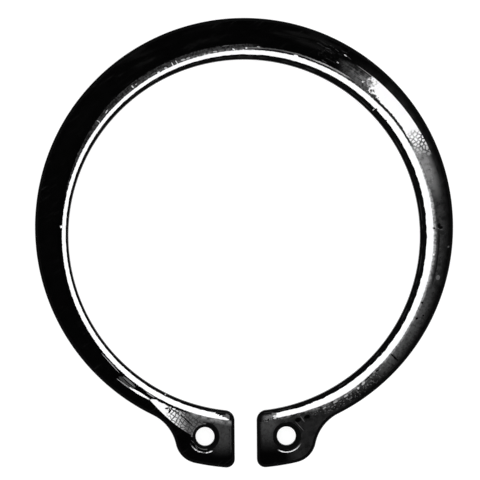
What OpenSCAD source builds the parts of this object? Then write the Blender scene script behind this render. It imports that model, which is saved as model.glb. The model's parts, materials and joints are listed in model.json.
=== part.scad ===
// External retaining ring for a shaft groove, punched from spring steel strip as one piece.
// The ring lies flat: its axis is Z, its gap opens towards -Y, and its rolled edges face up.
// The origin is on the ring's axis, half way through the strip.

/* [Ring] */
// Inner diameter of the relaxed ring, before it is spread over its shaft
free_d = 41.5; // [34:0.5:60]
// Radial width of the beam at its widest, opposite the gap
beam_w = 4.9; // [4.4:0.1:5.6]
// How far the outer circle's centre stands off the ring's axis, which narrows the beam towards the lugs
taper = 1.0; // [0.5:0.1:1.2]
// Thickness of the strip
thickness = 1.75; // [1.2:0.05:2.5]

/* [Lugs] */
// Clear gap between the two lugs
gap = 2.6; // [1.6:0.1:4]
// Radial height of a lug, from the inner edge to its crown
lug_h = 6.7; // [6.2:0.1:8]
// Width of a lug, from its gap face to its flank
lug_w = 7.0; // [6.6:0.1:8.5]
// Plan radius of the shoulder between a lug's crown and its flank
shoulder_r = 2.9; // [2.4:0.1:3.2]
// Plan radius of the hollow between a lug's flank and the beam
hollow_r = 5.0; // [3:0.5:8]
// Plan radius of the corner between a lug's crown and its gap face
crown_corner_r = 1.0; // [0.7:0.1:1.6]
// Plan radius of the corner between the inner edge and a gap face
heel_corner_r = 1.2; // [0.7:0.1:1.6]

/* [Plier holes] */
// Diameter of the hole in each lug that the pliers' tips enter
hole_d = 2.2; // [2:0.1:2.8]
// Distance from the gap face to the hole's centre
hole_inset = 3.5; // [3.3:0.1:4]
// Radial distance from the inner edge to the hole's centre
hole_rise = 3.4; // [3.2:0.05:3.6]

/* [Edges] */
// Radius of the long arc that rolls the punched face down to the inner edge
bore_roll_r = 2.9; // [2:0.1:3.4]
// Radius of the long arc that rolls the punched face down into a plier hole
hole_roll_r = 1.2; // [0.6:0.1:1.6]
// Radius of the long arc that rolls the punched face down to the outer edge and the gap
rim_roll_r = 0.55; // [0.3:0.05:0.8]
// Radius of the short arc that turns each roll into its wall
nose_r = 0.35; // [0.25:0.05:0.4]
// Radius of the tumbled edges on the underside
burr_r = 0.2; // [0.1:0.05:0.25]

/* [Hidden] */
$fn = 180;

// Slopes, in degrees from the flat face, at which each arc of an edge starts and ends
roll_slopes = [4, 26];
nose_slopes = [36, 82];
burr_slopes = [8, 82];
// How far neighbouring arcs of the outline bite into one another
bite = 0.005;
// How far a cutting shape reaches past the face that it cuts
past = 0.3;
// How far a cutting shape reaches past the end of its arc
lap = 0.02;
// How deep the web between a lug and the beam is rooted in the beam
root = 1.6;

bore_r = free_d / 2;
crown_r = bore_r + lug_h;
outer_r = bore_r + beam_w - taper;
outer_centre = [0, taper];
gap_x = gap / 2;
top = thickness / 2;

// Width and depth of an arc that turns between two slopes, and of the whole rolled edge
function arc_w(r, slopes) = r * (sin(slopes[1]) - sin(slopes[0]));
function arc_h(r, slopes) = r * (cos(slopes[0]) - cos(slopes[1]));
function edge_w(roll_r) = arc_w(roll_r, roll_slopes) + arc_w(nose_r, nose_slopes);
function edge_h(roll_r) = arc_h(roll_r, roll_slopes) + arc_h(nose_r, nose_slopes);

// The point at distance r from the axis, on the gap's side, at a given x
function below(r, x) = [x, -sqrt(r * r - x * x)];
// The point in the direction of p at distance r from the axis
function reach(p, r) = p * r / norm(p);
// The point at distance ra from a and rb from b, on the right of the way from a to b
function meet(a, ra, b, rb) =
    let (d = norm(b - a), u = (b - a) / d, along = (ra * ra - rb * rb + d * d) / (2 * d))
    a + along * u + sqrt(ra * ra - along * along) * [u[1], -u[0]];

// Centres of the arcs of the right-hand lug's outline, and of its hole
crown_corner = below(crown_r - crown_corner_r + bite, gap_x + crown_corner_r - bite);
heel_corner = below(bore_r + heel_corner_r - bite, gap_x + heel_corner_r - bite);
shoulder = below(crown_r - shoulder_r + bite, gap_x + lug_w - shoulder_r);
hollow = meet(shoulder, shoulder_r + hollow_r - bite, outer_centre, outer_r + hollow_r - bite);
hole = below(bore_r + hole_rise, gap_x + hole_inset);
// A distance well outside the ring
far = 2 * crown_r;

// What one arc leaves of a square corner: x runs from the wall into the metal, y from the face into it.
// The arc of radius r ends at [x0, y1] and starts, at the lesser slope, further in and less deep.
module arc_off(r, slopes, x0, y1) {
    w = x0 + arc_w(r, slopes);
    difference() {
        translate([-past, -past]) square([w + past + lap, y1 + past + lap]);
        translate([x0 + r * sin(slopes[1]), y1 + r * cos(slopes[1])]) circle(r);
    }
}

// Both edges of a wall, which stands at x = 0 with its metal on the side of positive x
module edges_off(roll_r) {
    translate([0, top]) mirror([0, 1]) {
        arc_off(roll_r, roll_slopes, arc_w(nose_r, nose_slopes), arc_h(roll_r, roll_slopes));
        arc_off(nose_r, nose_slopes, 0, edge_h(roll_r));
    }
    translate([0, -top]) arc_off(burr_r, burr_slopes, 0, arc_h(burr_r, burr_slopes));
}

// A disc of the strip, with the edges of its rim finished
module pad(centre, r)
    translate(centre)
    rotate_extrude()
    difference() {
        translate([0, -top]) square([r, thickness]);
        translate([r, 0]) mirror([1, 0]) edges_off(rim_roll_r);
    }

// What a round opening takes out of the strip, with the edges round it finished
module opening(centre, r, roll_r)
    translate(centre)
    rotate_extrude() {
        translate([0, -top - past]) square([r, thickness + 2 * past]);
        translate([r, 0]) edges_off(roll_r);
    }

// The strip inside an outline, with square edges
module blank(outline)
    translate([0, 0, -top]) linear_extrude(thickness) polygon(outline);

// The straight gap face, from the heel corner to the crown corner and as deep as the plier hole's centre
module gap_face()
    translate([gap_x, heel_corner[1], 0])
    rotate([90, 0, 0])
    linear_extrude(heel_corner[1] - crown_corner[1])
    difference() {
        translate([0, -top]) square([hole_inset, thickness]);
        edges_off(rim_roll_r);
    }

// The arc of the crown, from the crown corner to the shoulder
module crown()
    intersection() {
        pad([0, 0], crown_r);
        blank([[0, 0], heel_corner, crown_corner, reach(crown_corner, far), reach(shoulder, far)]);
    }

// The web that carries the flank's hollow from the shoulder to the beam
module web() {
    beam_root = outer_centre + reach(hollow - outer_centre, outer_r - root);
    difference() {
        blank([hole, shoulder, hollow, beam_root]);
        opening(hollow, hollow_r, rim_roll_r);
    }
}

// The right-hand lug, before its plier hole and the inner edge are cut
module lug() {
    crown();
    gap_face();
    web();
    pad(crown_corner, crown_corner_r);
    pad(heel_corner, heel_corner_r);
    pad(shoulder, shoulder_r);
}

// The beam: a disc about the off-axis centre, open from one lug's hole to the other's
module beam()
    difference() {
        pad(outer_centre, outer_r);
        translate([0, 0, -top - past])
        linear_extrude(thickness + 2 * past)
        polygon([[0, 0], reach(hole, far), reach([-hole[0], hole[1]], far)]);
    }

// Everything on the right of the gap, and the same mirrored to its left
module both_sides() {
    children();
    mirror([1, 0, 0]) children();
}

module ring()
    color([0.05, 0.05, 0.055])
    difference() {
        union() {
            beam();
            both_sides() lug();
        }
        opening([0, 0], bore_r, bore_roll_r);
        both_sides() opening(hole, hole_d / 2, hole_roll_r);
    }

ring();
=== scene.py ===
"""An external retaining ring of blackened spring steel, lying flat on a pale floor, seen from above.

Lengths in the shape functions are millimetres in the CAD frame; meshes and placements are metres.
"""
import json
import math

import bpy
import numpy as np
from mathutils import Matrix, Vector, geometry, noise


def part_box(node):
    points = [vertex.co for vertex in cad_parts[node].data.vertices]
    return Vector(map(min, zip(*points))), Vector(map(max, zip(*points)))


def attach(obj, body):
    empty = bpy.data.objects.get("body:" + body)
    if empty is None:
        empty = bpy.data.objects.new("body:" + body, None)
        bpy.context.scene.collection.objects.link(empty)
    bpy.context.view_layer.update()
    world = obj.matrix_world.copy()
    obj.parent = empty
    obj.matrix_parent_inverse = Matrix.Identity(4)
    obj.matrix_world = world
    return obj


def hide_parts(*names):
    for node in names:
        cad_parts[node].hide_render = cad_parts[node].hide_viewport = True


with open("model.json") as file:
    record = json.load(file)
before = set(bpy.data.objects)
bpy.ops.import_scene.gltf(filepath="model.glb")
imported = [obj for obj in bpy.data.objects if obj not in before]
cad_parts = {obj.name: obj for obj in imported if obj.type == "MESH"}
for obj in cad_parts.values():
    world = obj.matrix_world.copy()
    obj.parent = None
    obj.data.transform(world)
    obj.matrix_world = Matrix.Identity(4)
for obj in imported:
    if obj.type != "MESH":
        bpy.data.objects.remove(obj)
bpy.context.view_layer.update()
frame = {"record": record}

MM = 0.001

MOUNTS = {mount["name"]: mount for mount in frame["record"]["mounts"]}
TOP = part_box("ring")[1][2] / MM
BORE_R = MOUNTS["shaft_seat"]["dims"]["r_mm"]
HOLE_R = MOUNTS["plier_hole_right"]["dims"]["r_mm"]
HOLE = np.array(MOUNTS["plier_hole_right"]["pos_m"][:2]) / MM

# Outline of the ring, as the CAD has it
BEAM_W = 4.9
TAPER = 1.0
GAP_X = 1.3
LUG_H = 6.7
LUG_W = 7.0
SHOULDER_R = 2.9
HOLLOW_R = 5.0
CROWN_CORNER_R = 1.0
HEEL_CORNER_R = 1.2
CROWN_R = BORE_R + LUG_H
OUTER_R = BORE_R + BEAM_W - TAPER
OUTER_CENTRE = np.array([0.0, TAPER])

# Rolled edges: a long arc from flat to NOSE_SLOPE, then a short arc from there to the wall
NOSE_R = 0.28
NOSE_SLOPE = math.radians(28)
BORE_ROLL_R = 2.4
HOLE_ROLL_R = 0.98
RIM_ROLL_R = 0.45
BURR_R = 0.19

# Spacing of the mesh's stations along arcs, and of its points on the flat
ARC_STEP = 0.22
CORNER_TURN = math.radians(6)
FLAT_STEP = 0.24


def below(r, x):
    return np.array([x, -math.sqrt(r * r - x * x)])


def angle_of(v):
    return math.atan2(v[1], v[0])


def meet(a, ra, b, rb):
    """The point at distance ra from a and rb from b, on the right of the way from a to b."""
    d = np.linalg.norm(b - a)
    u = (b - a) / d
    along = (ra * ra - rb * rb + d * d) / (2 * d)
    return a + along * u + math.sqrt(ra * ra - along * along) * np.array([u[1], -u[0]])


def arc(centre, r, start, end, turn):
    """Points along an arc from one angle to another, left-handed for turn 1; the last is left out."""
    sweep = (end - start) * turn % (2 * math.pi)
    count = max(2, math.ceil(sweep * r / ARC_STEP), math.ceil(sweep / CORNER_TURN))
    angles = start + turn * sweep * np.arange(count) / count
    return centre + r * np.stack([np.cos(angles), np.sin(angles)], axis=1)


def half_outline():
    """The right half of the outline, from the top of the bore round the lug to the top of the rim."""
    axis = np.zeros(2)
    crown_corner = below(CROWN_R - CROWN_CORNER_R, GAP_X + CROWN_CORNER_R)
    heel = below(BORE_R + HEEL_CORNER_R, GAP_X + HEEL_CORNER_R)
    shoulder = below(CROWN_R - SHOULDER_R, GAP_X + LUG_W - SHOULDER_R)
    hollow = meet(shoulder, SHOULDER_R + HOLLOW_R, OUTER_CENTRE, OUTER_R + HOLLOW_R)
    up, left = math.pi / 2, math.pi
    face_rows = math.ceil((heel[1] - crown_corner[1]) / ARC_STEP)
    face_y = np.linspace(heel[1], crown_corner[1], face_rows, endpoint=False)
    pieces = [
        arc(axis, BORE_R, up, angle_of(heel), -1),
        arc(heel, HEEL_CORNER_R, angle_of(-heel), left, 1),
        np.stack([np.full(face_rows, GAP_X), face_y], axis=1),
        arc(crown_corner, CROWN_CORNER_R, left, angle_of(crown_corner), 1),
        arc(axis, CROWN_R, angle_of(crown_corner), angle_of(shoulder), 1),
        arc(shoulder, SHOULDER_R, angle_of(shoulder), angle_of(hollow - shoulder), 1),
        arc(hollow, HOLLOW_R, angle_of(shoulder - hollow), angle_of(OUTER_CENTRE - hollow), -1),
        arc(OUTER_CENTRE, OUTER_R, angle_of(hollow - OUTER_CENTRE), up, 1),
    ]
    return np.concatenate(pieces)


def full_outline():
    """The closed outline, with the metal on its left."""
    right = half_outline()
    top_of_rim = OUTER_CENTRE + [0, OUTER_R]
    left = right[:0:-1] * [-1, 1]
    return np.concatenate([right, [top_of_rim], left])


def edge_width(roll_r):
    return roll_r * math.sin(NOSE_SLOPE) + NOSE_R * (1 - math.sin(NOSE_SLOPE))


def edge_depth(roll_r):
    return roll_r * (1 - math.cos(NOSE_SLOPE)) + NOSE_R * math.cos(NOSE_SLOPE)


def drop(distance, roll_r):
    """How far the rolled face lies under the flat, at a distance from the wall."""
    width, depth = edge_width(roll_r), edge_depth(roll_r)
    nose_w = NOSE_R * (1 - math.sin(NOSE_SLOPE))
    d = np.clip(distance, 0, width)
    on_nose = depth - np.sqrt(np.maximum(0, NOSE_R**2 - (NOSE_R - np.minimum(d, nose_w)) ** 2))
    on_roll = roll_r - np.sqrt(roll_r**2 - (width - d) ** 2)
    return np.where(d < nose_w, on_nose, on_roll)


def nose_levels():
    """Distances from the wall of the mesh's rows on the short arc of a rolled edge."""
    return NOSE_R * (1 - np.sin(np.radians([90, 82, 73, 64, 55, 46, 37, 28])))


def rim_levels(roll_r):
    """Distances of the rows across a narrow rolled edge; row DULL_ROWS lies where it ends."""
    roll = edge_width(roll_r) - roll_r * np.sin(np.radians([21, 14, 7, 0]))
    return np.concatenate([nose_levels(), roll, roll[-1] + 0.03 * np.arange(1, 7)])


def bore_levels(border):
    """Distances of the rows across the bore's roll at each station; row DULL_ROWS lies on the border."""
    nose, end = nose_levels(), edge_width(BORE_ROLL_R)
    parts = [np.full(len(border), d) for d in nose]
    parts += [nose[-1] + (border - nose[-1]) * t for t in (0.25, 0.5, 0.75, 1.0)]
    parts += [border + (end - border) * t for t in (0.2, 0.4, 0.6, 0.8, 1.0)]
    parts.append(np.full(len(border), end + 0.04))
    return np.array(parts)


def ripple(points, scale, seed):
    """Smooth noise from -1 to 1 at each point, with features about scale millimetres wide."""
    return np.array([noise.noise(Vector((p[0] / scale, p[1] / scale, seed))) for p in points])


def uneven(points, layers):
    """The sum of some layers of noise, each given by its size, the width of its features and a seed."""
    return sum(size * ripple(points, width, seed) for size, width, seed in layers)


def smooth(low, high, value):
    t = np.clip((value - low) / (high - low), 0, 1)
    return t * t * (3 - 2 * t)


# How many points are compared with a line at once, which keeps the arrays small
CHUNK = 400


def nearest(points, line):
    """Distance from each point to a closed line of points."""
    ends = np.roll(line, -1, axis=0)
    along = ends - line
    lengths = (along**2).sum(axis=1)
    result = np.empty(len(points))
    for i in range(0, len(points), CHUNK):
        away = points[i : i + CHUNK, None, :] - line[None]
        t = np.clip((away * along).sum(axis=2) / lengths, 0, 1)
        gap = away - t[..., None] * along
        result[i : i + CHUNK] = np.sqrt((gap**2).sum(axis=2).min(axis=1))
    return result


def nearest_point(points, line):
    """Distance from each point to the closest of a line's points."""
    result = np.empty(len(points))
    for i in range(0, len(points), CHUNK):
        away = points[i : i + CHUNK, None, :] - line[None]
        result[i : i + CHUNK] = np.sqrt((away**2).sum(axis=2).min(axis=1))
    return result


def inside(points, line):
    """Whether each point lies inside a closed line of points."""
    result = np.zeros(len(points), dtype=bool)
    ends = np.roll(line, -1, axis=0)
    for a, b in zip(line, ends):
        crosses = (a[1] > points[:, 1]) != (b[1] > points[:, 1])
        if crosses.any():
            x = a[0] + (points[:, 1] - a[1]) * (b[0] - a[0]) / (b[1] - a[1])
            result ^= crosses & (points[:, 0] < x)
    return result


# Wear marks on the punched face: place in millimetres, radius, and depth, where a negative depth stands up
DENTS = [
    ((-21.5, 1.2), 0.30, 0.030),
    ((23.0, 1.1), 0.38, 0.040),
    ((22.1, 0.6), 0.16, 0.025),
    ((0.6, 21.6), 0.22, 0.020),
    ((1.9, 21.9), 0.20, -0.012),
    ((23.4, -1.4), 0.20, 0.012),
    ((22.9, -2.6), 0.16, 0.014),
    ((-3.1, 22.4), 0.30, 0.010),
]

# Unevenness of the bore's roll and of the flat face, as layers of noise
BORE_WANDER = [(0.035, 1.1, 3.0), (0.02, 0.45, 8.0)]
FACE_RIPPLE = [(0.003, 4.0, 1.0), (0.0008, 0.9, 5.0)]
# How far the face lies under its highest level, which leaves room for its ripples
FACE_LOW = 0.004


def top_height(points, rim_distance):
    """Height of the punched face at each point, with its rolled edges, ripples and wear marks."""
    side = np.stack([np.abs(points[:, 0]), points[:, 1]], axis=1)
    hole_distance = np.linalg.norm(side - HOLE, axis=1) - HOLE_R
    bore_distance = np.linalg.norm(points, axis=1) - BORE_R
    wander = uneven(points, BORE_WANDER) * smooth(0.05, 0.3, bore_distance)
    bore = drop(bore_distance * (1 + wander / 1.2), BORE_ROLL_R)
    rim = drop(rim_distance, RIM_ROLL_R)
    hole = drop(hole_distance, HOLE_ROLL_R)
    z = TOP - np.maximum(np.maximum(bore, rim), hole)
    free = smooth(0.0, 0.3, np.minimum(np.minimum(bore_distance, rim_distance), hole_distance))
    z -= free * (FACE_LOW + uneven(points, FACE_RIPPLE))
    for place, size, depth in DENTS:
        away = np.linalg.norm(points - place, axis=1) / size
        z -= free * depth * np.exp(-2 * away**2)
    return np.minimum(z, TOP)


class Shell:
    """Vertices and faces of one closed mesh, with a material index for each face."""

    def __init__(self):
        self.points = []
        self.faces = []
        self.materials = []

    def add(self, xy, z):
        first = len(self.points)
        self.points.extend(np.column_stack([xy, z]).tolist())
        return np.arange(first, first + len(xy))

    def strip(self, lower, upper, material):
        """Quads between two closed rows of vertices."""
        count = len(lower)
        for i in range(count):
            j = (i + 1) % count
            self.faces.append((lower[i], lower[j], upper[j], upper[i]))
            self.materials.append(material)

    def fill(self, loops, extra_xy, heights, material, upward):
        """Triangles over the area inside the first closed row and outside the others."""
        rows = np.concatenate(loops)
        xy = np.array(self.points)[rows][:, :2]
        if len(extra_xy):
            rows = np.concatenate([rows, self.add(extra_xy, heights)])
            xy = np.concatenate([xy, extra_xy])
        edges = []
        first = 0
        for loop in loops:
            count = len(loop)
            edges += [(first + i, first + (i + 1) % count) for i in range(count)]
            first += count
        made = geometry.delaunay_2d_cdt([Vector(p) for p in xy], edges, [], 0, 1e-7)
        corners = [rows[source[0]] for source in made[3]]
        triangles = np.array([[corners[v] for v in face] for face in made[2]])
        flat = np.array(self.points)[:, :2]
        centres = flat[triangles].mean(axis=1)
        kept = inside(centres, flat[loops[0]])
        for loop in loops[1:]:
            kept &= ~inside(centres, flat[loop])
        for a, b, c in triangles[kept]:
            turn = np.cross(flat[b] - flat[a], flat[c] - flat[a])
            self.faces.append((a, b, c) if (turn > 0) == upward else (a, c, b))
            self.materials.append(material)

    def change(self, old, new, chosen):
        """Give the faces of one material another, on the upper side, where their first corner is chosen."""
        x, y, z = np.array(self.points)[[face[0] for face in self.faces]].T
        for index in np.flatnonzero(chosen(x, y) & (z > 0)):
            if self.materials[index] == old:
                self.materials[index] = new


COATED, DULL, SHEARED = 0, 1, 2
# How many rows of each rolled edge are dull, and how many of those look like the wall
DULL_ROWS = 11
WALL_ROWS = 3

# The height where the wall ends above the underside's edge, and the slopes of that edge's rows
WALL_LOW = -TOP + BURR_R
BURR_SLOPES = np.radians([25, 50, 72, 90])
# How far down the outer wall each of its rows lies, and the mean depth of its torn band
WALL_PARTS = (0.2, 0.4, 0.55, 0.66, 0.76, 0.88, 1.0)
TORN_DEPTH = 0.012

# Stations round a plier hole, rows down its wall, and a distance that keeps it clear of the rim's roll
HOLE_STATIONS = 72
HOLE_WALL_ROWS = 5
OFF_RIM = 9.0

# Where the heels of the lugs are dull beyond the dull rows: from which x to which, how far from the
# inner edge at x = 0, and how much further for each millimetre of x
DULL_HEELS = [(-1.85, 3.15, 1.22, 0.0), (-3.4, -2.3, 1.75, 0.4)]
# Where the plier holes' dull rows shine: the side of the gap, and how far from the hole's wall that begins
SHINING_HOLES = [(1, 0.5), (-1, 0.4)]


def finish(row, top_count, wall_end):
    """The material of a strip: its row is counted from the flat face outwards and down the wall."""
    if row < top_count - 1 - DULL_ROWS or row >= wall_end:
        return COATED
    return DULL if row < top_count - 1 - WALL_ROWS else SHEARED


def bore_share(outline):
    """How much of the wide bore roll each station carries: all along the bore, none at the lugs' corners."""
    from_heel = np.abs(outline[:, 0]) - GAP_X - HEEL_CORNER_R
    from_heel = np.where(outline[:, 1] > 0, BORE_R, from_heel)
    on_bore = np.linalg.norm(outline, axis=1) < BORE_R + 1e-4
    return np.where(on_bore, smooth(0.0, 1.3, from_heel), 0.0)


def dull_border(outline):
    """How far from the wall the dull part of the bore's roll ends at each station."""
    radius = np.linalg.norm(outline, axis=1)
    beside, above = outline[:, 0] / radius, outline[:, 1] / radius
    ragged = 0.04 + 0.05 * smooth(0.3, 0.8, beside - above * 0.6)
    return 0.53 + 0.24 * beside + 0.07 * above + ragged * ripple(outline, 0.5, 4.0)


def ring_shell():
    shell = Shell()
    outline = full_outline()
    ahead = np.roll(outline, -1, axis=0) - np.roll(outline, 1, axis=0)
    ahead /= np.linalg.norm(ahead, axis=1)[:, None]
    inward = np.stack([-ahead[:, 1], ahead[:, 0]], axis=1)
    share = bore_share(outline)

    top_rows = []
    for rim_level, bore_level in zip(rim_levels(RIM_ROLL_R), bore_levels(dull_border(outline))):
        distance = rim_level + (bore_level - rim_level) * share
        xy = outline + inward * distance[:, None]
        rim_distance = np.where(share > 0, nearest_point(xy, outline[share == 0]), distance)
        top_rows.append(shell.add(xy, top_height(xy, rim_distance)))

    # The wall: a smooth sheared band above, a rougher torn band below
    wall_top = np.array(shell.points)[top_rows[0]][:, 2]
    wall_rows = []
    for part in WALL_PARTS:
        torn = smooth(0.5, 0.7, part) * (1 - smooth(0.9, 1.0, part))
        dent = TORN_DEPTH * torn * (1 + ripple(outline + part * 3.1, 0.35, 11.0))
        wall_rows.append(shell.add(outline + inward * dent[:, None], wall_top + (WALL_LOW - wall_top) * part))

    burr_rows = []
    for slope in BURR_SLOPES:
        xy = outline + inward * BURR_R * (1 - math.cos(slope))
        burr_rows.append(shell.add(xy, np.full(len(xy), WALL_LOW - BURR_R * math.sin(slope))))

    rows = top_rows[::-1] + wall_rows + burr_rows
    for index, (upper, lower) in enumerate(zip(rows, rows[1:])):
        shell.strip(lower, upper, finish(index, len(top_rows), len(top_rows) + len(wall_rows)))

    hole_tops, hole_bottoms = [], []
    for side in (1, -1):
        top_loop, bottom_loop = hole_wall(shell, HOLE * [side, 1])
        hole_tops.append(top_loop)
        hole_bottoms.append(bottom_loop)

    flat_xy = flat_points(np.array(shell.points)[:, :2], top_rows[-1], hole_tops)
    heights = top_height(flat_xy, nearest(flat_xy, outline[share < 0.5]))
    shell.fill([top_rows[-1]] + hole_tops, flat_xy, heights, COATED, True)
    shell.fill([burr_rows[-1]] + hole_bottoms, [], [], COATED, False)
    finish_lugs(shell)
    return shell


def hole_wall(shell, centre):
    """A plier hole's rolled edge, wall and underside edge. Returns its top and bottom loops."""
    angles = 2 * math.pi * np.arange(HOLE_STATIONS) / HOLE_STATIONS
    out = np.stack([np.cos(angles), np.sin(angles)], axis=1)
    levels = rim_levels(HOLE_ROLL_R)
    rows = []
    for distance in levels[::-1]:
        xy = centre + out * (HOLE_R + distance)
        rows.append(shell.add(xy, top_height(xy, np.full(HOLE_STATIONS, OFF_RIM))))
    wall_top = TOP - edge_depth(HOLE_ROLL_R)
    for z in np.linspace(wall_top, WALL_LOW, HOLE_WALL_ROWS + 1)[1:]:
        rows.append(shell.add(centre + out * HOLE_R, np.full(HOLE_STATIONS, z)))
    for slope in BURR_SLOPES:
        xy = centre + out * (HOLE_R + BURR_R * (1 - math.cos(slope)))
        rows.append(shell.add(xy, np.full(HOLE_STATIONS, WALL_LOW - BURR_R * math.sin(slope))))
    for index, (upper, lower) in enumerate(zip(rows, rows[1:])):
        shell.strip(upper, lower, finish(index, len(levels), len(rows) - 2))
    return rows[0], rows[-1]


def flat_points(xy, boundary, holes):
    """A staggered grid over the flat of the face, clear of its edges and holes."""
    reach = CROWN_R + 1
    row_step = FLAT_STEP * math.sqrt(3) / 2
    clear = FLAT_STEP * 0.4
    grid = []
    for row, y in enumerate(np.arange(-reach, reach, row_step)):
        x = np.arange(-reach, reach, FLAT_STEP) + (row % 2) * FLAT_STEP / 2
        grid.append(np.stack([x, np.full(len(x), y)], axis=1))
    grid = np.concatenate(grid)
    grid = grid[np.linalg.norm(grid, axis=1) > BORE_R]
    grid = grid[inside(grid, xy[boundary])]
    for hole in holes:
        centre = xy[hole].mean(axis=0)
        hole_r = np.linalg.norm(xy[hole[0]] - centre)
        grid = grid[np.linalg.norm(grid - centre, axis=1) > hole_r + clear]
    return grid[nearest(grid, xy[boundary]) > clear]


def on_shallow_roll(x, y, centre, away):
    """Whether a place is on the shallow outer part of a plier hole's roll, more than away from its wall."""
    distance = np.hypot(x - centre[0], y - centre[1]) - HOLE_R
    return (distance > away) & (distance < edge_width(HOLE_ROLL_R) + 0.05)


def finish_lugs(shell):
    """Move the border between the dull and the glossy coat on the lugs."""
    for start, end, reach, slant in DULL_HEELS:
        shell.change(COATED, DULL, lambda x, y: (y < 0) & (x > start) & (x < end)
                     & (np.hypot(x, y) < BORE_R + reach + slant * x))
    for side, away in SHINING_HOLES:
        centre = HOLE * [side, 1]
        shell.change(DULL, COATED, lambda x, y: (x < centre[0] + 0.25) & on_shallow_roll(x, y, centre, away))


def add_object(name, data):
    added = bpy.data.objects.new(name, data)
    bpy.context.scene.collection.objects.link(added)
    return added


def make_ring():
    shell = ring_shell()
    mesh = bpy.data.meshes.new("retaining_ring")
    points = (np.array(shell.points) * MM).tolist()
    mesh.from_pydata(points, [], [tuple(int(v) for v in face) for face in shell.faces])
    mesh.polygons.foreach_set("material_index", shell.materials)
    mesh.polygons.foreach_set("use_smooth", [True] * len(mesh.polygons))
    mesh.update()
    return add_object("retaining_ring", mesh)


class Nodes:
    """A short way to build a material's or the world's node tree."""

    def __init__(self, tree):
        self.tree = tree
        tree.nodes.clear()

    def put(self, node, socket, value):
        if isinstance(value, bpy.types.NodeSocket):
            self.tree.links.new(value, node.inputs[socket])
        else:
            node.inputs[socket].default_value = value

    def add(self, kind, values=None, **settings):
        node = self.tree.nodes.new(kind)
        for name, value in settings.items():
            setattr(node, name, value)
        for socket, value in (values or {}).items():
            self.put(node, socket, value)
        return node

    def math(self, operation, a, b=0.0, c=0.0, clamp=False):
        node = self.add("ShaderNodeMath", {0: a, 1: b, 2: c}, operation=operation, use_clamp=clamp)
        return node.outputs[0]

    def sum(self, start, *terms):
        """A starting value plus each value times its factor."""
        for value, factor in terms:
            start = self.math("MULTIPLY_ADD", value, factor, start)
        return start

    def times(self, first, *others):
        """The product of the values."""
        for value in others:
            first = self.math("MULTIPLY", first, value)
        return first

    def most(self, first, *others):
        """The largest of the values."""
        for value in others:
            first = self.math("MAXIMUM", first, value)
        return first

    def length(self, x, y):
        vector = self.add("ShaderNodeCombineXYZ", {0: x, 1: y}).outputs[0]
        return self.add("ShaderNodeVectorMath", {0: vector}, operation="LENGTH").outputs[1]

    def degrees(self, x, y):
        """The direction of a place from the origin."""
        return self.math("MULTIPLY", self.math("ARCTAN2", y, x), 180 / math.pi)

    def mix_value(self, factor, a, b):
        return self.add("ShaderNodeMapRange", {"Value": factor, "To Min": a, "To Max": b}).outputs[0]

    def ramp(self, value, low, high, to_low=0.0, to_high=1.0):
        """A smooth step from to_low, where the value is low, to to_high, where it is high."""
        values = {"Value": value, "From Min": low, "From Max": high, "To Min": to_low, "To Max": to_high}
        return self.add("ShaderNodeMapRange", values, interpolation_type="SMOOTHSTEP").outputs[0]

    def between(self, value, low, risen, falling, high):
        """1 where the value lies from risen to falling, fading to 0 at low and at high."""
        return self.times(self.ramp(value, low, risen), self.ramp(value, high, falling))

    def near(self, value, target, outer, inner):
        """1 where the value is closer to the target than inner, fading to 0 at outer."""
        return self.ramp(self.math("ABSOLUTE", self.math("SUBTRACT", value, target)), outer, inner)

    def noise(self, vector, scale, detail=2.0, rough=0.5):
        values = {"Vector": vector, "Scale": scale, "Detail": detail, "Roughness": rough}
        return self.add("ShaderNodeTexNoise", values).outputs["Fac"]

    def stretched(self, vector, turn, scale):
        """Coordinates turned by an angle in radians and stretched by a scale."""
        values = {"Vector": vector, "Rotation": (0, 0, turn), "Scale": scale}
        return self.add("ShaderNodeMapping", values, vector_type="TEXTURE").outputs[0]

    def mix(self, factor, a, b):
        node = self.add("ShaderNodeMix", data_type="RGBA")
        for socket, value in ((0, factor), (6, a), (7, b)):
            self.put(node, socket, value)
        return node.outputs[2]

    def surface(self, values, height, strength, depth):
        """Finish a material with one finely bumped surface; depth is in metres."""
        bump = self.add("ShaderNodeBump", {"Strength": strength, "Distance": depth, "Height": height})
        shader = self.add("ShaderNodeBsdfPrincipled", {**values, "Normal": bump.outputs[0]})
        self.add("ShaderNodeOutputMaterial", {"Surface": shader.outputs[0]})


def new_material(name):
    material = bpy.data.materials.new(name)
    material.use_nodes = True
    return material, Nodes(material.node_tree)


class Face:
    """A point's place on the ring in millimetres, as values of a node tree."""

    def __init__(self, n):
        self.n = n
        coords = n.add("ShaderNodeTexCoord").outputs["Object"]
        self.place = n.add("ShaderNodeVectorMath", {0: coords, 3: 1 / MM}, operation="SCALE").outputs[0]
        self.x, self.y, self.z = n.add("ShaderNodeSeparateXYZ", {0: self.place}).outputs
        self.radius = n.length(self.x, self.y)

    def spot(self, centre, turn, half_long, half_wide, ragged, pointed=None):
        """1 inside a ragged oval, 0 outside. Its long side lies at the angle turn, in degrees."""
        n, x, y = self.n, self.x, self.y
        c, s = math.cos(math.radians(turn)), math.sin(math.radians(turn))
        along = n.sum((-centre[0] * c - centre[1] * s) / half_long, (x, c / half_long), (y, s / half_long))
        across = n.sum((centre[0] * s - centre[1] * c) / half_wide, (x, -s / half_wide), (y, c / half_wide))
        if pointed:
            reach = n.math("POWER", n.math("ABSOLUTE", along), pointed)
        else:
            reach = n.times(along, along)
        return n.ramp(n.sum(reach, (across, across), ragged), 1.1, 0.9)


# Mean width of the painted highlight band along the bore, and outer radius of the painted bright patch at the
# upper right
PAINTED_BAND_W = 1.13
PAINTED_PATCH_RIM = BORE_R + 3.30


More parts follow.
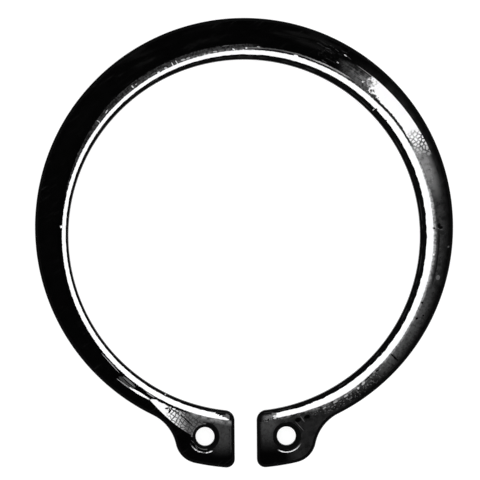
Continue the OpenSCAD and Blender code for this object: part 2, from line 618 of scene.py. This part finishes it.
class PaintedReflectionFace(Face):
    """Adds the direction from the axis, the noises that roughen the painted reflections and the wear marks,
    and where the painted bands lie.
    """

    def __init__(self, n):
        super().__init__(n)
        self.beside, self.above = n.math("DIVIDE", self.x, self.radius), n.math("DIVIDE", self.y, self.radius)
        self.angle = n.degrees(self.x, self.y)
        self.fine = n.noise(self.place, 3.2, 3.0, 0.6)
        self.coarse = n.noise(self.place, 1.3, 5.0, 0.68)
        around = n.add("ShaderNodeCombineXYZ", {0: n.times(self.angle, 0.16), 1: n.times(self.radius, 3.4)})
        self.around = around.outputs[0]
        self.streaky = n.noise(self.around, 1.0, 4.0, 0.6)
        self.rightness = n.sum(0.0, (self.beside, 1.0), (self.above, -0.35))
        self.from_crack = self.crack_distance()
        self.past_painted_band = self.painted_band_distance()
        self.past_line = self.line_distance()
        self.on_painted_patch = n.times(n.ramp(self.past_line, 0.05, 0.10),
                                n.ramp(self.radius, PAINTED_PATCH_RIM + 0.06, PAINTED_PATCH_RIM - 0.01))
        heel = n.sum(-BORE_R - 1.85, (self.radius, 1.0), (self.x, -0.40), (self.fine, 0.15))
        self.off_heel = n.most(n.ramp(heel, -0.03, 0.03), n.ramp(self.x, -0.5, 0.5),
                               n.ramp(self.y, -1.0, 1.0))

    def crack_distance(self):
        """Distance from the fine cracks between small square cells."""
        n = self.n
        wave = n.add("ShaderNodeTexNoise", {"Vector": self.place, "Scale": 1.9}).outputs["Color"]
        values = {0: wave, 1: (0.35, 0.35, 0.0), 2: self.place}
        wavy = n.add("ShaderNodeVectorMath", values, operation="MULTIPLY_ADD").outputs[0]
        turned = n.add("ShaderNodeMapping", {"Vector": wavy, "Rotation": (0, 0, math.radians(40))})
        values = {"Vector": turned.outputs[0], "Scale": 2.3, "Randomness": 0.55}
        cells = n.add("ShaderNodeTexVoronoi", values, voronoi_dimensions="2D", feature="DISTANCE_TO_EDGE")
        return n.sum(0.0, (cells.outputs["Distance"], 1.0), (self.fine, -0.2))

    def painted_band_distance(self):
        """Distance past the painted highlight band along the bore, which is wider to the right than to the
        left.
        """
        n, angle = self.n, self.angle
        low_right = n.times(n.ramp(angle, -5.0, -25.0), n.ramp(angle, -60.0, -45.0, 0.0, 0.12))
        near_gap = n.times(n.ramp(angle, -76.0, -56.0, 0.17, 0.0), n.ramp(angle, -92.0, -86.0))
        high_right = n.between(angle, 38.0, 44.0, 66.0, 74.0)
        left = n.ramp(self.beside, -0.5, -1.0)
        return n.sum(0.08 - BORE_R - PAINTED_BAND_W, (self.radius, 1.0), (self.beside, -0.47), (self.above, 0.03),
                     (self.fine, -0.16), (low_right, 1.0), (near_gap, 1.0), (left, -0.05), (high_right, 0.06))

    def line_distance(self):
        """Distance past the thin unpainted dark line beside the painted highlight band, which is thicker
        along two of its parts.
        """
        n = self.n
        at_painted_patch = n.between(self.angle, 31.0, 34.5, 45.0, 50.0)
        at_painted_streak = n.times(n.ramp(self.x, -7.0, -9.5), n.ramp(self.y, -15.0, -16.0))
        return n.sum(-0.02, (self.past_painted_band, 1.0), (self.coarse, -0.25), (at_painted_patch, -0.09),
                     (at_painted_streak, -0.09))


# Small marks on the face, some scratches and nicks through the coat and some painted glints and grey
# reflections: place, turn in degrees, half length and half width in millimetres, brightness
MARKS = [
    ((22.33, -2.43), 80, 0.14, 0.09, 1.0),
    ((24.1, -1.54), 0, 0.14, 0.13, 0.08),
    ((22.8, -5.14), 75, 0.32, 0.25, 0.1),
    ((12.11, 21.11), -35, 0.22, 0.07, 0.6),
    ((11.21, 20.28), -30, 0.17, 0.07, 0.45),
    ((9.21, 22.40), -34, 0.53, 0.05, 0.020),
    ((9.58, 22.60), -35, 0.68, 0.05, 0.014),
    ((10.05, 21.96), -10, 0.32, 0.05, 0.028),
    ((9.60, 21.71), 42, 0.40, 0.05, 0.012),
    ((11.12, 21.72), -40, 0.28, 0.05, 0.024),
    ((11.95, 21.55), -25, 0.45, 0.05, 0.020),
    ((9.59, 20.44), -35, 0.42, 0.05, 0.028),
    ((9.45, 20.50), 50, 0.20, 0.05, 0.020),
    ((8.97, 21.33), 80, 0.25, 0.05, 0.012),
    ((12.13, 19.98), 14, 0.60, 0.06, 0.030),
    ((12.37, 19.59), 8, 0.65, 0.06, 0.030),
    ((12.46, 19.10), 8, 0.50, 0.06, 0.034),
    ((-8.25, 20.18), -62, 0.32, 0.06, 0.8),
    ((-7.78, 20.44), -58, 0.28, 0.06, 0.7),
    ((6.35, -22.52), -48, 0.80, 0.05, 0.07),
    ((6.70, -21.69), -55, 0.45, 0.06, 0.09),
    ((-1.76, -23.6), 90, 2.2, 0.07, 0.035),
    ((-6.34, -23.6), 0, 0.13, 0.10, 0.12),
    ((-6.25, -24.26), -45, 0.28, 0.05, 0.04),
    ((-5.83, -24.93), -60, 0.25, 0.05, 0.08),
    ((-9.03, 19.75), -20, 0.25, 0.14, 0.5),
    ((-7.02, 20.75), 10, 0.30, 0.11, 0.45),
    ((-6.42, 20.93), 25, 0.28, 0.10, 0.35),
    ((-21.55, 1.19), 0, 0.12, 0.16, 1.0),
    ((-17.04, 13.55), -40, 0.26, 0.06, 0.6),
    ((-16.09, 14.72), 60, 0.27, 0.07, 0.6),
    ((-13.0, 17.62), -50, 0.20, 0.09, 0.7),
    ((-12.6, 17.9), 30, 0.14, 0.06, 0.4),
    ((-9.93, 19.26), 35, 0.18, 0.11, 0.9),
    ((-4.47, 21.36), 30, 0.12, 0.09, 0.5),
    ((-3.98, 21.42), 20, 0.12, 0.08, 0.45),
    ((-3.25, 21.68), 5, 0.28, 0.07, 0.45),
    ((-2.0, 22.35), 8, 0.50, 0.06, 0.08),
    ((-1.05, 21.92), -30, 0.20, 0.10, 0.7),
    ((0.08, 21.82), 0, 0.14, 0.12, 0.8),
    ((0.44, 22.08), 0, 0.14, 0.09, 0.8),
    ((1.88, 22.2), -10, 0.20, 0.07, 0.35),
    ((6.28, 21.12), -18, 0.30, 0.12, 1.0),
    ((-15.86, -14.93), -48.2, 1.7, 0.06, 0.30),
    ((-14.25, -17.42), -36.6, 1.2, 0.07, 0.30),
    ((-13.66, -17.14), -42, 1.0, 0.13, 0.14),
    ((-11.18, -18.72), -34, 0.60, 0.07, 0.30),
    ((23.0, 0.60), -17, 0.50, 0.045, 0.12),
    ((3.43, -21.43), 0, 0.26, 0.24, 0.6),
    ((11.85, -19.0), 35, 0.30, 0.10, 0.4),
    ((13.9, -17.55), 50, 0.28, 0.13, 0.45),
    ((10.6, -19.7), 30, 0.32, 0.10, 0.35),
    ((13.3, -18.1), 40, 0.14, 0.12, 0.6),
    ((9.3, -20.4), 30, 0.25, 0.08, 0.3),
    ((12.5, 20.85), -40, 0.4, 0.05, 0.04),
]

# Small dark pits and deep cracks: place, turn in degrees, half length and half width in millimetres
PITS = [
    ((23.00, 0.98), 75, 0.34, 0.20),
    ((23.22, 0.72), 25, 0.30, 0.17),
    ((22.39, 0.68), 0, 0.20, 0.13),
    ((-9.25, -20.30), 7, 0.30, 0.12),
    ((-8.93, -20.45), -70, 0.22, 0.11),
    ((-8.64, -20.22), 63, 0.25, 0.11),
    ((-8.92, -20.65), 53, 0.36, 0.13),
    ((-8.26, -20.68), -28, 0.60, 0.09),
    ((-6.98, -21.68), -44, 1.20, 0.09),
    ((-12.95, -17.44), 0, 0.15, 0.15),
    ((-12.27, -17.89), -38, 0.36, 0.10),
    ((-9.85, -19.40), -25, 0.25, 0.12),
    ((15.72, 14.74), -40, 0.16, 0.14),
    ((16.85, 13.42), -50, 0.13, 0.09),
    ((17.60, -14.51), -45, 0.80, 0.13),
    ((20.92, -8.09), 0, 0.18, 0.14),
    ((20.27, -9.94), 30, 0.20, 0.14),
    ((21.03, -9.60), 0, 0.14, 0.14),
    ((15.55, -16.05), 45, 0.22, 0.11),
    ((14.36, -16.98), 40, 0.50, 0.08),
    ((6.18, -21.77), 15, 0.46, 0.30),
    ((7.24, -21.43), 20, 0.46, 0.28),
]

# The painted white streak of reflection at the lower left and the faint painted reflection above it: as for
# MARKS, and then how pointed their ends are
PAINTED_STREAK = ((-12.45, -18.54), -31, 1.55, 0.165)
PAINTED_STREAK_POINTED = 1.3
PAINTED_FAINT = ((-13.95, -17.25), -39, 1.45, 0.42)
PAINTED_FAINT_POINTED = 1.2

# Where the fine scratches of the upper right lie
SCRAPED = ((10.46, 21.5), -35, 2.4, 1.2)


def band(f):
    """The painted highlight band along the bore, which stops short of the gap and on a slant at the left lug.
    """
    n = f.n
    beyond_ends = n.sum(-0.2, (n.math("ABSOLUTE", n.math("ADD", f.x, -0.87)), 1.0), (f.fine, 0.4))
    ends = n.most(n.ramp(beyond_ends, 2.70, 2.82), n.ramp(f.y, -16.0, -15.0))
    return n.times(n.ramp(f.past_painted_band, 0.02, -0.03), ends, f.off_heel)


def painted_fringe(f):
    """The painted grey reflection beyond the band: to the right, over the top, and at the left lug."""
    n, angle, past = f.n, f.angle, f.past_painted_band
    blotches = n.mix_value(n.ramp(angle, -38.0, -46.0), 1.0, n.ramp(f.coarse, 0.40, 0.60, 0.12, 1.0))
    right = n.times(n.ramp(past, 0.50, -0.05, 0.0, 0.60), n.ramp(f.rightness, 0.3, 0.8),
                    n.ramp(f.fine, 0.35, 0.6, 0.55, 1.05), n.ramp(angle, -12.0, -24.0, 1.0, 0.55),
                    n.ramp(f.streaky, 0.3, 0.65, 0.45, 1.1), blotches, n.ramp(angle, 31.0, 24.0))
    beside_band = n.times(n.ramp(past, 0.40, 0.0, 0.0, 0.09), n.ramp(angle, 140.0, 112.0, 0.15, 1.0))
    flecks = n.times(n.ramp(f.fine, 0.35, 0.6, 0.4, 1.6), n.ramp(f.streaky, 0.35, 0.65, 0.6, 1.3))
    outer_edge = n.sum(0.0, (past, 1.0), (n.ramp(angle, 125.0, 178.0), 0.65), (f.coarse, 0.15))
    parted = n.mix_value(n.ramp(angle, 104.0, 112.0), 1.0, n.ramp(past, 0.06, 0.18, 0.35, 1.0))
    top = n.times(n.math("ADD", beside_band, 0.022), flecks, n.ramp(outer_edge, 0.80, 0.72),
                  n.between(angle, 84.0, 90.0, 164.0, 170.0), parted)
    thin_line = n.times(n.between(angle, 54.0, 58.0, 86.0, 94.0), n.near(past, 0.27, 0.10, 0.05),
                        n.ramp(f.streaky, 0.3, 0.6, 0.12, 0.45), n.ramp(angle, 64.0, 74.0, 1.0, 0.35))
    left = n.times(n.between(f.x, -7.2, -5.8, -1.8, -1.4), n.ramp(f.y, -18.0, -19.0),
                   n.ramp(f.coarse, 0.35, 0.6, 0.2, 1.0), f.off_heel, n.ramp(past, 0.9, 0.0, 0.0, 0.26))
    return n.most(right, left, top, thin_line)


def haze(f):
    """A thin painted haze of reflection over the right of the face, denser and speckled at the lower right.
    """
    n, angle, past = f.n, f.angle, f.past_painted_band
    from_rim = n.math("SUBTRACT", OUTER_R, n.length(f.x, n.math("ADD", f.y, -TAPER)))
    gap = n.times(n.near(past, 0.60, 0.15, 0.05), n.ramp(f.coarse, 0.40, 0.5),
                  n.between(angle, -30.0, -22.0, 0.0, 6.0))
    right = n.times(n.ramp(f.rightness, 0.15, 0.8), n.ramp(from_rim, 0.2, 1.7),
                    n.ramp(f.coarse, 0.3, 0.7, 0.010, 0.045), n.sum(1.0, (gap, -0.8)))
    low = n.times(n.ramp(past, 1.7, 0.0, 0.0, 0.085), n.ramp(f.fine, 0.3, 0.6, 0.55, 1.1),
                  n.between(angle, -52.0, -42.0, -22.0, -10.0))
    speckles = n.times(n.ramp(n.noise(f.place, 5.0, 2.0, 0.5), 0.53, 0.66, 0.0, 0.16),
                       n.ramp(past, 1.5, 0.3), n.between(angle, -74.0, -64.0, -46.0, -38.0))
    return n.most(right, low, speckles)


def sheen(f):
    """A faint uneven painted sheen on the outer half of the top."""
    n = f.n
    patchy = n.ramp(n.noise(f.around, 0.3, 3.0, 0.5), 0.5, 0.65, 0.0, 0.004)
    return n.times(n.ramp(f.above, 0.4, 0.8), patchy, n.ramp(f.radius, 22.9, 23.8))


def patch(f):
    """The painted bright reflection at the upper right: its upper end is speckled and its lower end cracked.
    """
    n, coarse, angle = f.n, f.coarse, f.angle
    specked = n.times(n.ramp(f.radius, 23.3, 22.6), n.sum(-0.5, (f.fine, 1.0)))
    upper_end = n.sum(4.0, (n.ramp(f.radius, 22.2, 23.2, 51.0, 56.0), 1.0), (angle, -1.0),
                      (coarse, -12.0), (f.fine, -8.0), (specked, -16.0))
    lower_end = n.sum(-28.5, (angle, 1.0), (coarse, 10.0))
    off_crack = n.ramp(n.sum(-0.21, (f.from_crack, 1.0), (coarse, 0.4)), 0.0, 0.13)
    cracks = n.mix_value(off_crack, n.ramp(coarse, 0.42, 0.58, 0.02, 0.17),
                         n.ramp(angle, 22.0, 29.0, 0.22, 1.0))
    cracked = n.ramp(n.sum(0.0, (angle, 1.0), (coarse, 8.0)), 36.0, 32.5)
    return n.times(n.ramp(upper_end, -1.6, 1.6), n.ramp(lower_end, -0.8, 0.8),
                   n.mix_value(cracked, 1.0, cracks), f.on_painted_patch)


def painted_patch_grey(f):
    """The painted grey reflection beyond both ends of the painted patch, with a thin painted line along its
    rim and a mottled seam.
    """
    n, angle = f.n, f.angle
    low = n.times(n.ramp(angle, 6.0, 22.0, 0.0, 1.3), n.ramp(f.radius, PAINTED_PATCH_RIM + 0.2, PAINTED_PATCH_RIM - 1.1),
                  n.ramp(f.coarse, 0.30, 0.55, 0.5, 1.0))
    mottled = n.ramp(n.sum(0.0, (f.coarse, 0.6), (f.streaky, 0.4)), 0.38, 0.62, 0.1, 1.1)
    high = n.times(n.ramp(f.radius, PAINTED_PATCH_RIM, PAINTED_PATCH_RIM - 0.5), n.ramp(f.radius, 22.6, 23.2, 0.6, 1.0),
                   mottled)
    rim_line = n.times(n.near(f.radius, PAINTED_PATCH_RIM, 0.08, 0.03), n.between(angle, 48.0, 50.0, 54.5, 56.5), 1.2)
    grey = n.mix_value(n.ramp(angle, 32.0, 36.0), low, n.most(high, rim_line))
    seam = n.times(n.between(angle, 45.0, 47.0, 60.0, 63.0), n.ramp(f.past_painted_band, 0.30, 0.15),
                   n.ramp(f.fine, 0.38, 0.58, 0.02, 0.11))
    return n.most(n.times(grey, f.on_painted_patch, n.ramp(angle, 62.0, 50.0, 0.0, 0.22)), seam)


def painted_wedge(f):
    """The painted cracked grey reflection that runs from the painted streak to the left plier hole, above a
    curved edge.
    """
    n, x = f.n, f.x
    run = n.math("ADD", x, 8.9)
    low_edge = n.sum(-21.68, (run, -0.868), (n.times(run, run), 0.0615))
    inside_wedge = n.times(n.ramp(n.math("SUBTRACT", f.y, low_edge), -0.03, 0.03),
                           n.ramp(f.past_line, 0.04, 0.09), n.ramp(x, -1.5, -1.9),
                           n.ramp(n.sum(0.0, (f.y, 1.0), (f.fine, 0.3)), -19.05, -19.15))
    crack_level = n.most(n.ramp(x, -9.6, -8.6, 1.0, 0.08), n.ramp(x, -8.2, -6.8, 0.05, 0.38))
    cracks = n.mix_value(n.ramp(f.from_crack, -0.03, 0.09), crack_level, 1.0)
    return n.times(inside_wedge, n.ramp(x, -6.7, -8.9, 0.12, 1.0), n.ramp(x, -3.2, -6.6), cracks)


def painted_lug_grey(f):
    """Faint painted grey reflection on the lugs, beside the gap and on the far side of the right plier hole.
    """
    n = f.n
    level = n.mix_value(n.ramp(f.x, -0.1, 0.1), n.ramp(f.y, -26.3, -23.6, 0.0, 0.038),
                        n.ramp(f.y, -25.8, -22.0, 0.0, 0.045))
    near_side = n.times(n.between(n.math("ABSOLUTE", f.x), 1.55, 2.1, 3.2, 4.6),
                        n.ramp(f.radius, BORE_R + 1.15, BORE_R + 1.4), n.ramp(f.y, -18.0, -20.0),
                        n.ramp(f.fine, 0.3, 0.6, 0.75, 1.2), level)
    far_side = n.times(n.ramp(f.x, 4.5, 6.0), n.ramp(f.y, -18.5, -20.5, 0.0, 0.016),
                       n.ramp(f.radius, BORE_R + 1.3, BORE_R + 1.8), n.ramp(f.coarse, 0.3, 0.6, 0.3, 1.0))
    return n.most(near_side, far_side)


def painted_crescents(f):
    """A painted bright highlight, a crescent under each plier hole."""
    n = f.n
    x = n.math("SUBTRACT", n.math("ABSOLUTE", f.x), HOLE[0])
    y = n.math("SUBTRACT", f.y, HOLE[1])
    bright_level = n.mix_value(n.ramp(f.x, -0.1, 0.1), n.ramp(f.fine, 0.42, 0.52, 0.1, 1.0),
                       n.ramp(f.fine, 0.34, 0.44, 0.5, 1.0))
    return n.times(n.near(n.length(x, y), HOLE_R + 0.8, 0.08, 0.03),
                   n.between(n.degrees(x, y), -124.0, -110.0, -66.0, -22.0), bright_level)


def painted_reflections_and_wear(f):
    """How brightly the coat shows bright steel: 1 along the bore, where it is a painted highlight, and in
    patches on the face, which are painted reflections together with scratches and wear marks through the
    coat.
    """
    n = f.n
    marks = pits = 0.0
    for *shape, level in MARKS:
        marks = n.most(marks, n.times(f.spot(*shape, (f.fine, 0.3)), level))
    for shape in PITS:
        pits = n.most(pits, f.spot(*shape, (f.fine, 0.6)))
    scratches = n.noise(n.stretched(f.place, math.radians(-31), (1.6, 0.11, 1.0)), 1.0, 2.0, 0.5)
    scrapes = n.times(n.ramp(scratches, 0.56, 0.64, 0.0, 0.035), n.ramp(f.fine, 0.42, 0.58, 0.0, 0.6),
                      f.spot(*SCRAPED, (f.coarse, 0.6)))
    streak = f.spot(*PAINTED_STREAK, (f.fine, 0.25), PAINTED_STREAK_POINTED)
    faint = n.times(f.spot(*PAINTED_FAINT, (f.fine, 0.5), PAINTED_FAINT_POINTED), n.ramp(f.streaky, 0.35, 0.65, 0.01, 0.06))
    painted_veil = n.math("ADD", n.most(painted_fringe(f), haze(f)), sheen(f))
    bright_level = n.most(band(f), patch(f), streak, painted_wedge(f), painted_crescents(f), marks,
                  painted_veil, painted_patch_grey(f), painted_lug_grey(f), faint, scrapes)
    return n.times(bright_level, n.math("SUBTRACT", 1.0, pits), n.ramp(f.z, -0.1, 0.1))


# Ground steel, for scratches and wear through the coat and for the painted highlights and reflections
BRIGHT_STEEL = (0.9, 0.9, 0.91, 1)


def coat_material():
    """Black phosphate coat, oiled, with a painted highlight where the face rolls down to the bore, and
    painted reflections, scratches and wear marks on the face.
    """
    material, n = new_material("black_coat")
    f = PaintedReflectionFace(n)
    grain = n.noise(f.place, 9.0, 4.0, 0.6)
    blotch = n.noise(f.place, 0.9, 3.0, 0.55)
    scratches = n.noise(n.stretched(f.place, 0.6, (3.0, 0.12, 1.0)), 1.0, 3.0, 0.5)
    # Painted highlights and reflections, with scratches and wear, mixed in as bare metallic steel
    bright = n.math("ADD", painted_reflections_and_wear(f), n.ramp(scratches, 0.64, 0.74, 0.0, 0.012), clamp=True)
    black = n.mix(blotch, (0.0003, 0.0003, 0.0003, 1), (0.0012, 0.0012, 0.0013, 1))
    rough = n.sum(0.06, (grain, 0.06), (n.math("POWER", bright, 0.5), 0.44))
    values = {"Base Color": n.mix(bright, black, BRIGHT_STEEL), "Metallic": bright, "Roughness": rough,
              "IOR": 1.6}
    n.surface(values, grain, 0.3, 0.01 * MM)
    return material


# Nicks in the dull edges: place and turn in degrees
DULL_NICKS = [((15.37, 14.70), 40), ((-9.42, -18.66), 60)]


def dull_material():
    """The edges rolled over by the punch, where the thick coat has no gloss, with a painted highlight line
    and a painted grey reflection on the right lug's heel.
    """
    material, n = new_material("dull_edge")
    f = Face(n)
    grain = n.noise(f.place, 6.0, 3.0, 0.6)
    # A painted thin highlight line along the bore's dull edge, and a painted grey reflection on the right
    # lug's heel, mixed in as bare steel
    line = n.times(n.near(f.radius, BORE_R + 0.30, 0.08, 0.02),
                   n.ramp(n.noise(f.place, 0.5, 3.0, 0.6), 0.47, 0.60, 0.0, 0.02))
    painted_heel_grey = n.times(n.ramp(f.x, 1.75, 2.7, 0.0, 0.16), n.ramp(f.x, 3.25, 3.1),
                        n.between(f.radius, BORE_R + 0.45, BORE_R + 0.75, BORE_R + 1.3, BORE_R + 1.6),
                        n.ramp(f.y, -18.0, -20.0), n.ramp(grain, 0.35, 0.6, 0.5, 1.2))
    bright = n.most(line, painted_heel_grey)
    for centre, turn in DULL_NICKS:
        bright = n.most(bright, n.times(f.spot(centre, turn, 0.16, 0.07, (grain, 0.3)), 0.45))
    black = n.mix(grain, (0.0002, 0.0002, 0.0002, 1), (0.0016, 0.0016, 0.0017, 1))
    values = {"Base Color": n.mix(bright, black, BRIGHT_STEEL), "Roughness": n.sum(0.42, (grain, 0.2)),
              "Specular IOR Level": 0.03}
    n.surface(values, grain, 0.5, 0.03 * MM)
    return material


def shear_material():
    """The cut walls: a smooth sheared band above, a greyer torn one below, marked across the strip."""
    material, n = new_material("sheared_wall")
    f = Face(n)
    streaks = n.add("ShaderNodeMapping", {"Vector": f.place, "Scale": (1.0, 1.0, 0.12)}).outputs[0]
    grain = n.noise(streaks, 14.0, 3.0, 0.6)
    torn = n.ramp(n.sum(0.0, (f.z, 1.0), (n.noise(f.place, 1.8, 3.0, 0.6), 0.5)), 0.22, 0.08)
    smooth_band = n.mix(grain, (0.004, 0.004, 0.0042, 1), (0.016, 0.016, 0.0165, 1))
    torn_band = n.mix(grain, (0.008, 0.008, 0.0082, 1), (0.034, 0.034, 0.035, 1))
    values = {"Base Color": n.mix(torn, smooth_band, torn_band),
              "Roughness": n.sum(0.26, (grain, 0.2), (torn, 0.18)), "Specular IOR Level": 0.35}
    n.surface(values, grain, 0.5, 0.03 * MM)
    return material


# How brightly the camera sees the floor glow
FLOOR_GLOW = 0.86


def floor_material():
    """Plain pale floor, white to the camera and in reflections, that keeps a shadow."""
    material, n = new_material("floor")
    base = n.add("ShaderNodeBsdfDiffuse", {"Color": (0.8, 0.8, 0.8, 1)})
    seen = n.add("ShaderNodeBsdfDiffuse", {"Color": (0.3, 0.3, 0.3, 1)})
    glow = n.add("ShaderNodeEmission", {"Color": (1, 1, 1, 1), "Strength": FLOOR_GLOW})
    shown = n.add("ShaderNodeAddShader", {0: seen.outputs[0], 1: glow.outputs[0]})
    path = n.add("ShaderNodeLightPath").outputs
    sharp = n.most(path["Is Camera Ray"], path["Is Glossy Ray"], path["Is Transmission Ray"])
    mixed = n.add("ShaderNodeMixShader", {0: sharp, 1: base.outputs[0], 2: shown.outputs[0]})
    n.add("ShaderNodeOutputMaterial", {"Surface": mixed.outputs[0]})
    return material


# A hair of air under the ring, in millimetres, so that its underside and the floor are not one plane
UNDER = 0.02
# Half the side of the floor in metres
FLOOR_HALF = 1.5


def make_floor():
    mesh = bpy.data.meshes.new("floor")
    half, z = FLOOR_HALF, -(TOP + UNDER) * MM
    corners = [(-half, -half, z), (half, -half, z), (half, half, z), (-half, half, z)]
    mesh.from_pydata(corners, [], [(0, 1, 2, 3)])
    floor = add_object("floor", mesh)
    floor.data.materials.append(floor_material())


# The photograph's frame: pixels per millimetre, the ring's axis in pixels, and its turn in degrees
FRAME_PX = 480
PX_PER_MM = 8.487
AXIS_PX = (244.15, 235.45)
TURN = -0.454
# How far above the ring the camera stands, in metres
CAMERA_AWAY = 0.6


def make_camera():
    """Straight above the ring, turned as in the photograph."""
    camera = bpy.data.cameras.new("camera")
    width = FRAME_PX / PX_PER_MM * MM
    camera.lens = camera.sensor_width * CAMERA_AWAY / width
    mid_x = (FRAME_PX / 2 - AXIS_PX[0]) / PX_PER_MM
    mid_y = (AXIS_PX[1] - FRAME_PX / 2) / PX_PER_MM
    target = Vector((mid_x, mid_y, TOP)) * MM
    rig = add_object("camera", camera)
    rig.location = target + Vector((0, 0, CAMERA_AWAY))
    rig.rotation_euler = (0, 0, math.radians(TURN))
    bpy.context.scene.camera = rig


# The light tent: which way its opening overhead and its lower edge lean, in degrees, and how it glows.
# Below it the surroundings are dim, and paler at the horizon.
OPENING_LEAN = (9.5, -3.5)
LOWER_EDGE_LEAN = (8, 0)
TENT_GLOW = 2.25
LOW_GLOW = 0.4
HORIZON_GLOW = 0.55


def tilted(x_degrees, y_degrees):
    """The direction that leans from straight up by these angles."""
    return Vector((math.tan(math.radians(x_degrees)), math.tan(math.radians(y_degrees)), 1)).normalized()


def make_world():
    """A light tent, open overhead where the camera looks in, dimmer low down and pale at the horizon."""
    world = bpy.data.worlds.new("tent")
    world.use_nodes = True
    bpy.context.scene.world = world
    n = Nodes(world.node_tree)
    direction = n.add("ShaderNodeTexCoord").outputs["Generated"]

    def angle_from(axis):
        facing = n.add("ShaderNodeVectorMath", {0: direction, 1: axis}, operation="DOT_PRODUCT").outputs[1]
        return n.times(n.math("ARCCOSINE", facing), 180 / math.pi)

    opening = n.ramp(angle_from(tilted(*OPENING_LEAN)), 19.5, 22.0)
    lower_edge = n.ramp(angle_from(tilted(*LOWER_EDGE_LEAN)), 47.0, 45.0)
    from_zenith = angle_from(Vector((0, 0, 1)))
    low = n.ramp(from_zenith, 45.0, 52.0, 0.0, LOW_GLOW)
    horizon = n.ramp(from_zenith, 78.0, 84.0, 0.0, HORIZON_GLOW)
    strength = n.math("ADD", n.times(opening, lower_edge, TENT_GLOW), n.math("ADD", low, horizon))
    background = n.add("ShaderNodeBackground", {"Color": (1, 1, 1, 1), "Strength": strength})
    n.add("ShaderNodeOutputWorld", {"Surface": background.outputs[0]})


bpy.context.scene.view_settings.view_transform = "Standard"
make_floor()
make_camera()
make_world()

ring = make_ring()
ring.data.materials.append(coat_material())
ring.data.materials.append(dull_material())
ring.data.materials.append(shear_material())
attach(ring, "root")
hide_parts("ring")
